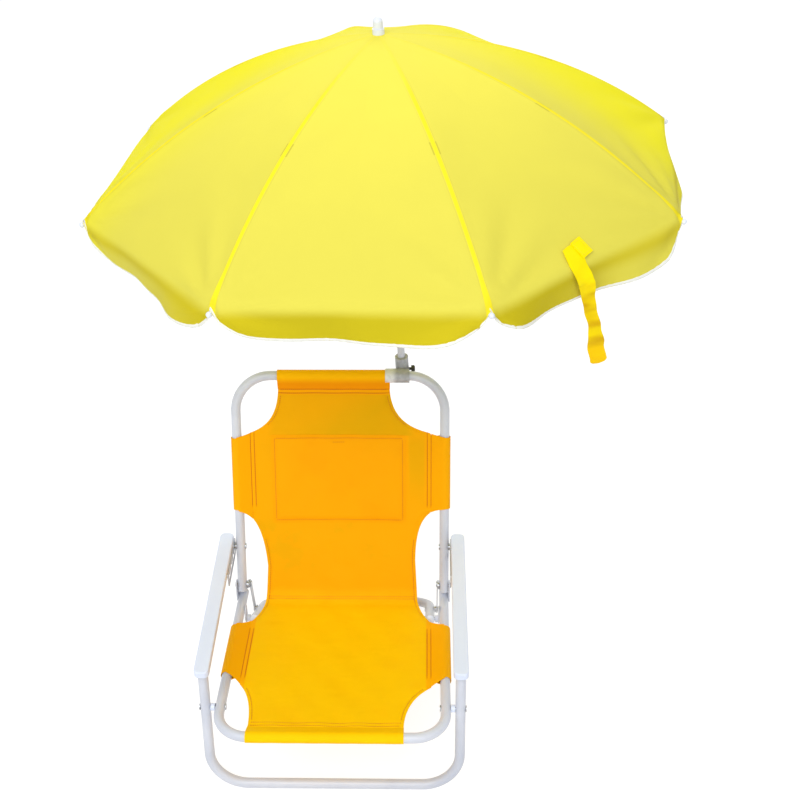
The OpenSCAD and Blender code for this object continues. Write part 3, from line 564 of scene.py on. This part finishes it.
def sling_line(along):
    """The sling's middle line in the side view and its normal, towards the sitter."""
    if along < BEND_FROM:
        return SEAT_FRONT + along * SEAT_DIR, SEAT_UP
    if along > BEND_TO:
        return CREASE + (along - BACK_ZERO) * BACK_DIR, BACK_FACE
    turn = (along - BEND_FROM) / CREASE_R
    centre = SEAT_FRONT + BEND_FROM * SEAT_DIR + CREASE_R * SEAT_UP
    angle = -SEAT_SLOPE + turn
    normal = Vector((0, -math.sin(angle), math.cos(angle)))
    return centre - CREASE_R * normal, normal


def sag(across, along):
    """How far the stretched cloth hangs behind the straight line between its tubes."""
    width = max(0.0, 1 - (across / 0.155) ** 2)
    seat = math.sin(math.pi * min(1, max(0, along / BEND_FROM))) * 0.0045
    back = math.sin(math.pi * min(1, max(0, (along - BEND_TO) / (FLAT_LEN - BEND_TO)))) * 0.007
    pull = 0.0010 * math.sin(across * 95 + along * 31) * math.sin(along * 44)
    return width * (seat + back + pull)


def on_sling(across, along, proud=0.0):
    """A point on the sling's face."""
    point, normal = sling_line(along)
    return Vector((across, 0, 0)) + point + (proud - sag(across, along)) * normal


def row_on_sling(start, end, steps, proud=THREAD_PROUD):
    """Points on the sling's face from one (across, along) to another."""
    row = []
    for k in range(steps + 1):
        across, along = (a + (b - a) * k / steps for a, b in zip(start, end))
        row.append(on_sling(across, along, proud))
    return row


def edges(along, limit=TUBE_CENTRE - SEAM):
    """The main cloth's left and right ends at a distance along it."""
    return -min(limit, between(LEFT_EDGE, along)), min(limit, between(RIGHT_EDGE, along))


def teardrop(share, radius):
    """A sleeve's section round a tube: (towards the panel, proud of it), from seam to seam."""
    reach = math.acos(radius / SEAM)
    straight = math.sqrt(SEAM ** 2 - radius ** 2)
    wrap = radius * (2 * math.pi - 2 * reach)
    run = share * (2 * straight + wrap)
    tangent = Vector((radius * math.cos(reach), radius * math.sin(reach)))
    start = Vector((SEAM, 0))
    if run < straight:
        return start.lerp(tangent, run / straight)
    if run < straight + wrap:
        angle = reach + (run - straight) / radius
        return Vector((radius * math.cos(angle), radius * math.sin(angle)))
    low = Vector((tangent.x, -tangent.y))
    return low.lerp(start, (run - straight - wrap) / straight)


def side_sleeve(name, sign, low_edge, high_edge, material):
    """A pocket sewn round one side tube, its ends cut to the curve of the cut-outs."""
    low = sorted((across * MM, along * MM) for across, along in low_edge)
    high = sorted((across * MM, along * MM) for across, along in high_edge)

    def where(u, v):
        section = teardrop(u, SLEEVE_R)
        across = TUBE_CENTRE - section.x
        first, last = between(low, across), between(high, across)
        if section.x < 0 or section.y < 0:
            first, last = low[-1][1], high[-1][1]
        return section, across, first + (last - first) * v

    def place(u, v):
        section, across, along = where(u, v)
        point, normal = sling_line(along)
        settle = sag(TUBE_CENTRE - SEAM, along) * max(0, section.x / SEAM)
        ripple = 0.016 * math.sin(along * 160 + u * 9) * math.sin(math.pi * v)
        return Vector((sign * across, 0, 0)) + point + (section.y * (1 + ripple) - settle) * normal

    def flat(u, v):
        return (sign * (TUBE_CENTRE - SEAM + u * 0.075), where(u, v)[2])

    outward = 1 if sign > 0 else -1
    return cloth_piece(name, 40, 40, place, flat, SLEEVE_CLOTH, material, side=outward)


def bar_sleeve(name, centre, inward, normal, ends, start, material):
    """A pocket sewn round a cross bar."""
    left, right = ends

    def place(u, v):
        section = teardrop(u, SLEEVE_R)
        ripple = 0.018 * math.sin(v * 37 + u * 8)
        x = left + (right - left) * v
        return Vector((x, 0, 0)) + centre + section.x * inward + section.y * (1 + ripple) * normal

    def flat(u, v):
        return (0.5 * (left + (right - left) * v), start + u * 0.06)

    return cloth_piece(name, 40, 60, place, flat, SLEEVE_CLOTH, material, side=-1)


def panel(material):
    """The sling's main cloth, from the front bar's seam up to the top bar's."""
    low, high = SEAM, FLAT_LEN - SEAM
    sewn_from = TUBE_CENTRE - SEAM - 0.001

    def where(u, v):
        along = low + (high - low) * v
        left, right = edges(along)
        return left + (right - left) * u, along

    def place(u, v):
        across, along = where(u, v)
        left, right = edges(along)
        rim = min(across - left, right - across)
        free = abs(left) < sewn_from or right < sewn_from
        curl = 0.0016 * (1 - ease(0, 0.012, rim)) if free else 0.0
        return on_sling(across, along, -curl)

    return cloth_piece("sling", 56, 200, place, where, 0.0010, material)


def sling_thread(thread):
    """Twin rows beside every sleeve, the crease seam and a single row along the free edges."""
    mesh = bmesh.new()
    for sign in (-1, 1):
        for row in SIDE_ROWS:
            stitch_row(mesh, row_on_sling((sign * row, 0.134), (sign * row, 0.238), 12), SEAT_UP)
            ends = ((sign * row, BACK_ZERO + 0.172), (sign * row, BACK_ZERO + 0.288))
            stitch_row(mesh, row_on_sling(*ends, 12), BACK_FACE)
    for rows, normal in ((FRONT_ROWS, SEAT_UP), (TOP_ROWS, BACK_FACE)):
        for along in rows:
            left, right = edges(along)
            stitch_row(mesh, row_on_sling((left + 0.004, along), (right - 0.004, along), 16), normal)
    middle = (BEND_FROM + BEND_TO) / 2
    left, right = edges(middle)
    for along in (middle - 0.002, middle + 0.002):
        row = row_on_sling((left + 0.003, along), (right - 0.003, along), 16)
        stitch_row(mesh, row, sling_line(along)[1])
    steps = 30
    for edge, sign in ((LEFT_EDGE, -1), (RIGHT_EDGE, 1)):
        for low, high in ((0.036, 0.105), (0.275, 0.430), (0.632, 0.684)):
            path = []
            for k in range(steps + 1):
                along = low + (high - low) * k / steps
                path.append(on_sling(sign * (between(edge, along) - 0.005), along, THREAD_PROUD))
            stitch_row(mesh, path, sling_line((low + high) / 2)[1])
    return shown("sling_thread", mesh, thread)


def back_panel(material, thread):
    """The extra layer sewn on the back, turned under at its edges."""
    left, right, low, high = PATCH_LEFT, PATCH_RIGHT, PATCH_LOW, PATCH_TOP
    inset = 0.005

    def where(u, v):
        return left + (right - left) * u, low + (high - low) * v

    def place(u, v):
        across, along = where(u, v)
        rim = min(across - left, right - across, along - low, high - along)
        seam_groove = 0.0005 * ease(0.0, 0.001, 0.0042 - abs(rim - inset))
        puff = 0.0005 + 0.0012 * ease(0.0, 0.010, rim) - seam_groove
        wave = 0.0009 * math.sin(across * 60 + 1) * math.sin(along * 48) * ease(0.005, 0.03, rim)
        return on_sling(across, along, 0.0008 + puff + wave)

    piece = cloth_piece("back_panel", 60, 44, place, where, 0.0008, material, side=-1)
    mesh = bmesh.new()
    corners = [(left + inset, low + inset), (right - inset, low + inset),
               (right - inset, high - inset), (left + inset, high - inset)]
    rows = list(zip(corners, corners[1:] + corners[:1]))
    rows.append(((-0.014, high - 0.012), (0.009, high - 0.012)))
    for start, end in rows:
        stitch_row(mesh, row_on_sling(start, end, 20, 0.0026), BACK_FACE)
    return joined("back_panel", [piece, shown("panel_thread", mesh, thread)])


def make_sling():
    """The sling and the panel sewn on it."""
    cloth = sling_cloth("golden sling cloth")
    thread = moulded("orange thread", srgb(206, 88, 8), srgb(186, 72, 4), 0.6)
    sling = joined("sling", [
        panel(cloth),
        side_sleeve("seat_sleeve_left", -1, KNEE_LEFT, HIP_LOW_LEFT, cloth),
        side_sleeve("seat_sleeve_right", 1, KNEE_RIGHT, HIP_LOW_RIGHT, cloth),
        side_sleeve("back_sleeve_left", -1, HIP_HIGH_LEFT, NECK_LEFT, cloth),
        side_sleeve("back_sleeve_right", 1, HIP_HIGH_RIGHT, NECK_RIGHT, cloth),
        bar_sleeve("front_sleeve", SEAT_FRONT, SEAT_DIR, SEAT_UP, (-0.128, 0.111), -0.04, cloth),
        bar_sleeve("top_sleeve", TOP_BAR, -BACK_DIR, BACK_FACE, (-0.1035, 0.0835), FLAT_LEN - 0.02, cloth),
        sling_thread(thread)])
    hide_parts("seat_sling", "back_sling")
    fold_from, fold_to = tuple(on_sling(0, BACK_ZERO + 0.06)), tuple(on_sling(0, SEAT_DEPTH - 0.055))
    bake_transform(sling)
    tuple(fold_from)
    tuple(fold_to)
    patch = back_panel(patch_cloth("amber panel cloth"), thread)
    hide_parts("back_patch")
    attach(patch, "back")


# The canopy
VALANCE = 0.050
HEM_W = 0.0060
TIE_AT = 0.250
TAPE_PITCH = 0.0016
# For each gore: where its hem flares outwards, as a share of the gore, and how far
FLARES = ((0.90, 0.024), (0.50, 0.016), (0.95, 0.013), (0.65, 0.013),
          (0.15, 0.013), (0.55, 0.013), (0.85, 0.013), (0.87, 0.013))


def rib_azimuth(number):
    return math.radians(RIB_TURN - 90) + (number - 0.5) * 2 * GORE_HALF


def on_pole(point):
    """A point of the umbrella's own frame, with its Z along the pole, in the world."""
    return POLE_FOOT + POLE_TURN @ point


def outward(azimuth):
    return POLE_TURN @ Vector((math.cos(azimuth), math.sin(azimuth), 0))


def sideways(azimuth):
    return POLE_TURN @ Vector((-math.sin(azimuth), math.cos(azimuth), 0))


def fold_with_rib(piece, number):
    """The piece goes down with its rib."""
    azimuth = rib_azimuth(number)
    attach(piece, f"rib_{number}")
    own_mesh(piece)


def hang(t):
    """How far the valance hangs below the ribs' tips, at a share of a gore's width."""
    return VALANCE * max(0.0, 1 - abs(2 * t - 1) ** 4) ** 0.6


def rib_point(run, off):
    """(out, up) at a distance along a rib and a distance above it."""
    slope = RIB_START + run / RIB_BEND
    return (HINGE_R + RIB_BEND * (math.sin(slope) - math.sin(RIB_START)) + off * math.sin(slope),
            HINGE_UP - RIB_BEND * (math.cos(RIB_START) - math.cos(slope)) + off * math.cos(slope))


def raw_gore(t, run):
    """(across, out, up) in one gore's own frame before the hem's bend is softened."""
    out, up = rib_point(min(run, RIB_LEN), CLOTH_UP)
    draw = 0.005 * 4 * t * (1 - t) * math.sin(math.pi * min(1, max(0, run / RIB_LEN)))
    reach = out - draw
    return Vector(((2 * t - 1) * reach * math.sin(GORE_HALF), reach * math.cos(GORE_HALF),
                   up - draw / 2 - max(0, run - RIB_LEN)))


def tip_pull(t, run, phase):
    """Shallow creases that fan out from a rib's tip over the gore."""
    across, back = t * 0.344 * run / RIB_LEN, RIB_LEN - run
    reach = math.hypot(across, back)
    fan = math.sin(9 * math.atan2(back, across + 1e-6) + phase)
    fade = ease(0.01, 0.05, reach) * (1 - ease(0.07, 0.2, reach)) * ease(0.0, 0.012, across)
    return 0.0021 * fan * fade


def gore(t, run, number):
    """A point of the cloth, with the hem's soft bend, the valance's waves and the pulls that
    run from each rib tip."""
    drop = hang(t)
    soft = 0.010 * min(1, drop / 0.03) * ease(0.02, 0.08, run)
    point = Vector((0, 0, 0))
    for k in (-2, -1, 0, 1, 2):
        point += raw_gore(t, run + soft * k / 2) / 5
    low = ease(RIB_LEN - 0.01, RIB_LEN + VALANCE, run)
    phase = number * 2.4
    share = min(1, max(0, (run - RIB_LEN) / VALANCE))
    place, reach = FLARES[number - 1]
    flare = 0.5 + 0.5 * math.cos(2 * math.pi * (t - place))
    wave = min(1, 9 * t * (1 - t)) * share * (reach * flare - 0.010 * (1 - flare))
    wave += 0.0016 * low * math.sin(2 * math.pi * 3.7 * t + 1.7 * phase) * math.sin(math.pi * t)
    pull = tip_pull(t, run, phase) + tip_pull(1 - t, run, phase + 1)
    point.y += wave + pull
    point.z += 0.5 * pull
    return point


def gore_world(t, run, number):
    """A point of the gore between ribs number and number + 1, in the world."""
    local = gore(t, run, (number - 1) % RIBS + 1)
    mid = rib_azimuth(number + 0.5)
    return on_pole(Vector((local.y * math.cos(mid) - local.x * math.sin(mid),
                           local.y * math.sin(mid) + local.x * math.cos(mid), local.z)))


def strip_place(number, u, v):
    """A strip of cloth centred on one rib, from mid-gore to mid-gore. Returns the point and
    its place in the flat cloth."""
    side = 2 * u - 1
    t = abs(side) / 2
    between_ribs = number
    if side < 0:
        t, between_ribs = 1 - t, number - 1
    start = -0.004
    run = start + (RIB_LEN + hang(t) - start) * v
    reach = rib_point(min(max(run, 0), RIB_LEN), 0)[0]
    return gore_world(t, run, between_ribs), (side * reach * math.sin(GORE_HALF), run)


def canopy_strip(number, cloth, white):
    """One rib's strip of the canopy, with the binding on its hem."""
    def hemward(v):
        """More rows where the hem bends."""
        return v * 0.86 / 0.8 if v < 0.8 else 0.86 + (v - 0.8) * 0.14 / 0.2

    strip = cloth_piece(f"canopy_{number}", 32, 72, lambda u, v: strip_place(number, u, hemward(v))[0],
                        lambda u, v: strip_place(number, u, hemward(v))[1], 0.0006, cloth, side=-1)

    def hem(u, v):
        """A folded tape over the lower edge: up the outside, round, and up the inside."""
        point, _ = strip_place(number, u, 1.0)
        above, _ = strip_place(number, u, 0.985)
        down = (point - above).normalized()
        out = outward(rib_azimuth(number) + (2 * u - 1) * GORE_HALF)
        out = (out - out.dot(down) * down).normalized()
        around = 2 * math.pi * v
        lift = 0.0010 - HEM_W * (0.5 - 0.5 * math.cos(around))
        return point + down * lift + out * (0.0013 * math.sin(around) - 0.0003)

    binding = cloth_piece(f"binding_{number}", 48, 12, hem, lambda u, v: (v * 0.01, u * 0.36), 0.0, white,
                          closed=True)
    strip = joined(f"canopy_{number}", [strip, binding])
    fold_with_rib(strip, number)
    if number == 1:
        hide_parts("canopy")


# The tie strap
STRAP_W = 0.022
STRAP_GORE = 1
STRAP_SEWN = (0.026, 0.019)


def sewn_end(u, v):
    """The strap's square end, turned and sewn flat on the canopy."""
    turn = math.radians(78)
    x, y = (u - 0.5) * STRAP_SEWN[0], (v - 0.5) * STRAP_SEWN[1]
    t = 0.486 + (x * math.cos(turn) - y * math.sin(turn)) / 0.33
    run = RIB_LEN - 0.021 + x * math.sin(turn) + y * math.cos(turn)
    out = outward(rib_azimuth(STRAP_GORE + 0.5))
    return gore_world(t, run, STRAP_GORE) + POLE_UP * 0.0042 + out * 0.0016


def strap_line():
    """The hanging strap's middle line, from under its sewn end over the hem and down."""
    mid = rib_azimuth(STRAP_GORE + 0.5)
    out, aside = outward(mid), sideways(mid)
    rim = gore_world(0.43, RIB_LEN, STRAP_GORE) + out * 0.002
    path = [gore_world(0.448, RIB_LEN - 0.033, STRAP_GORE) + out * 0.001 + POLE_UP * 0.0030,
            gore_world(0.438, RIB_LEN - 0.018, STRAP_GORE) + out * 0.001 + POLE_UP * 0.0032,
            gore_world(0.431, RIB_LEN - 0.004, STRAP_GORE) + out * 0.0015 + POLE_UP * 0.0034]
    for k in range(1, 11):
        drift = 0.038 * (k / 10) ** 0.8
        stand = 0.006 + 0.002 * math.sin(k * 1.3)
        path.append(rim + aside * drift - POLE_UP * 0.0158 * k + out * stand)
    return Line(path)


def make_strap():
    """Sewn end on the front right gore, folded back on itself, then over the hem and down."""
    cloth = strap_web("bright strap")
    out = outward(rib_azimuth(STRAP_GORE + 0.5))
    line = strap_line()
    total = line.length

    def place(u, v):
        run = total * v
        slant = (u - 0.5) * 0.018 * (1 - ease(0.0, 0.04, run))
        around = (-0.008, -0.004, 0, 0.004, 0.008)
        smooth = sum((line.at(min(total, max(0, run + slant + d))) for d in around), Vector()) / 5
        along = (line.at(min(total, run + 0.006)) - line.at(max(0, run - 0.006))).normalized()
        face = out if run > 0.06 else (out + POLE_UP).normalized()
        twist = 0.72 * ease(0.035, 0.075, run) + 0.18 * math.sin(run * 62) * ease(0.05, 0.09, run)
        across = Matrix.Rotation(twist, 3, along) @ along.cross(face).normalized()
        width = STRAP_W * (1.26 - 0.50 * ease(0.02, 0.10, run) + 0.26 * ease(0.135, 0.165, run))
        end = total - run
        if end < STRAP_W / 2:
            width *= 2 * math.sqrt(max(1e-9, 0.25 - (0.5 - end / STRAP_W) ** 2)) + 0.05
        crease = 0.0008 * math.sin(run * 210) * ease(0.05, 0.1, run)
        return smooth + across * (u - 0.5) * width + face * crease

    strap = cloth_piece("strap", 10, 90, place, lambda u, v: (u * STRAP_W, v * total), 0.0009, cloth)
    head = cloth_piece("strap_head", 8, 8, sewn_end, lambda u, v: (u * STRAP_SEWN[0], v * STRAP_SEWN[1]),
                       0.0009, cloth)
    thread = bmesh.new()
    corners = [(0.12, 0.14), (0.88, 0.14), (0.88, 0.86), (0.12, 0.86)]
    for (u0, v0), (u1, v1) in zip(corners, corners[1:] + corners[:1]):
        row = []
        for k in range(7):
            row.append(sewn_end(u0 + (u1 - u0) * k / 6, v0 + (v1 - v0) * k / 6) + POLE_UP * THREAD_PROUD)
        stitch_row(thread, row, (POLE_UP + out).normalized())
    yellow = moulded("yellow thread", srgb(236, 206, 12), srgb(226, 196, 8), 0.6)
    strap = joined("strap", [strap, head, shown("strap_thread", thread, yellow)])
    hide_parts("tie_strap")
    fold_with_rib(strap, STRAP_GORE)


def make_canopy():
    """Eight strips, one on each rib, so that each folds down with its own rib."""
    cloth = canopy_cloth("lemon canopy nylon")
    white = tape("white binding", srgb(240, 240, 232), srgb(226, 226, 216))
    for number in range(1, RIBS + 1):
        canopy_strip(number, cloth, white)
    make_strap()


# Finishes of the frame's own parts
def dress_frame():
    paint = painted_tube("white powder coat", srgb(208, 211, 220), srgb(192, 196, 208))
    wire = painted_tube("white wire paint", srgb(222, 224, 226), srgb(206, 210, 212))
    arm = moulded("armrest plastic", srgb(224, 231, 247), srgb(214, 223, 243))
    milky = moulded("milky plastic", srgb(228, 232, 240), srgb(214, 220, 232), 0.3)
    grey = clamp_plastic("grey clamp plastic")
    black = moulded("black plastic", srgb(46, 46, 48), srgb(36, 36, 38), 0.4)
    zinc = plated("zinc plate", srgb(190, 192, 196), 0.35)
    finishes = {
        paint: ("front_leg", "rear_leg", "seat_frame", "back_frame", "pole"),
        wire: ("crown", "runner", "rib_", "stretcher_"),
        arm: ("arm_left", "arm_right", "leg_plugs", "seat_plugs", "back_plugs", "rear_plugs",
              "leg_spacers", "rear_spacers"),
        milky: ("cap", "tip_"),
        grey: ("clamp_body",),
        black: ("clamp_screw", "pole_foot"),
        zinc: ("leg_rivets", "rear_rivets", "back_rivets", "link_rivets", "crank_rivets", "cranks",
               "link_left", "link_right", "arm_studs", "adjuster_left", "adjuster_right"),
    }
    for material, names in finishes.items():
        for node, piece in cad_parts.items():
            if any(node == name or (name.endswith("_") and node.startswith(name)) for name in names):
                piece.data.materials.clear()
                piece.data.materials.append(material)


# Stage, light and camera
FLOOR_GLOW = 0.80
FLOOR_SHADE = 0.32
SKY = 0.66
# Each lamp's name, place, width and power
LAMPS = (("key", (-1.0, -1.8, 3.4), 2.4, 57),
         ("fill", (0.4, -2.3, 2.4), 2.4, 27),
         ("rear", (0.4, 2.6, 2.6), 2.2, 26))
AIM = Vector((0, 0.2, 0.4))
EYE = (0.1449, -1.1616, 1.6513)
TILT, YAW, ROLL = 0.645, -0.028, -0.015
SENSOR, PICTURE, FOCAL = 36, 800, 1198


def seen_ray(f):
    """1 where the camera, a reflection or a clear part looks, 0 where light is gathered."""
    ray = f.node("ShaderNodeLightPath").outputs
    seen = Wire(f, ray["Is Camera Ray"]).of("MAXIMUM", ray["Is Glossy Ray"])
    return seen.of("MAXIMUM", ray["Is Transmission Ray"])


def make_floor():
    """A pale floor that the camera sees bright."""
    mesh = bmesh.new()
    bmesh.ops.create_grid(mesh, x_segments=2, y_segments=2, size=12)
    f = Finish("pale floor", (0.86, 0.86, 0.86, 1), 0.9)
    glow = f.node("ShaderNodeEmission", {}, {"Color": (1, 1, 1, 1), "Strength": FLOOR_GLOW})
    shade = f.node("ShaderNodeBsdfDiffuse", {}, {"Color": (FLOOR_SHADE, FLOOR_SHADE, FLOOR_SHADE, 1)})
    both = f.node("ShaderNodeAddShader", {}, {0: shade.outputs[0], 1: glow.outputs[0]})
    pick = f.node("ShaderNodeMixShader", {}, {0: seen_ray(f), 1: f.shader.outputs[0], 2: both.outputs[0]})
    f.feed(f.end.inputs["Surface"], pick.outputs[0])
    shown("floor", mesh, f.material)


def make_light():
    """Soft studio light from a pale sky and three wide lamps."""
    world = bpy.data.worlds.new("studio")
    bpy.context.scene.world = world
    world.use_nodes = True
    sky = Tree(world.node_tree)
    back = world.node_tree.nodes["Background"]
    back.inputs["Color"].default_value = (0.95, 0.97, 1.0, 1)
    sky.feed(back.inputs["Strength"], seen_ray(sky) * (1 - SKY) + SKY)
    for name, at, size, power in LAMPS:
        lamp = bpy.data.lights.new(name, "AREA")
        lamp.size, lamp.energy = size, power
        light = bpy.data.objects.new(name, lamp)
        light.location = at
        light.rotation_euler = (AIM - Vector(at)).to_track_quat("-Z", "Y").to_euler()
        bpy.context.scene.collection.objects.link(light)


def make_camera():
    """The photo's own camera, worked out from the umbrella's ring of tips and the chair's tubes."""
    ahead = Vector((math.sin(YAW) * math.cos(TILT), math.cos(YAW) * math.cos(TILT), -math.sin(TILT)))
    level = ahead.cross(Vector((0, 0, 1))).normalized()
    rise = level.cross(ahead)
    right = math.cos(ROLL) * level + math.sin(ROLL) * rise
    up = math.cos(ROLL) * rise - math.sin(ROLL) * level
    lens = bpy.data.cameras.new("camera")
    lens.sensor_width = SENSOR
    lens.lens = FOCAL * SENSOR / PICTURE
    camera = bpy.data.objects.new("camera", lens)
    turn = Matrix((right, up, -ahead)).transposed().to_4x4()
    turn.translation = EYE
    camera.matrix_world = turn
    bpy.context.scene.collection.objects.link(camera)
    bpy.context.scene.camera = camera
    bpy.context.scene.view_settings.view_transform = "Standard"


make_sling()
make_canopy()
dress_frame()
make_floor()
make_light()
make_camera()
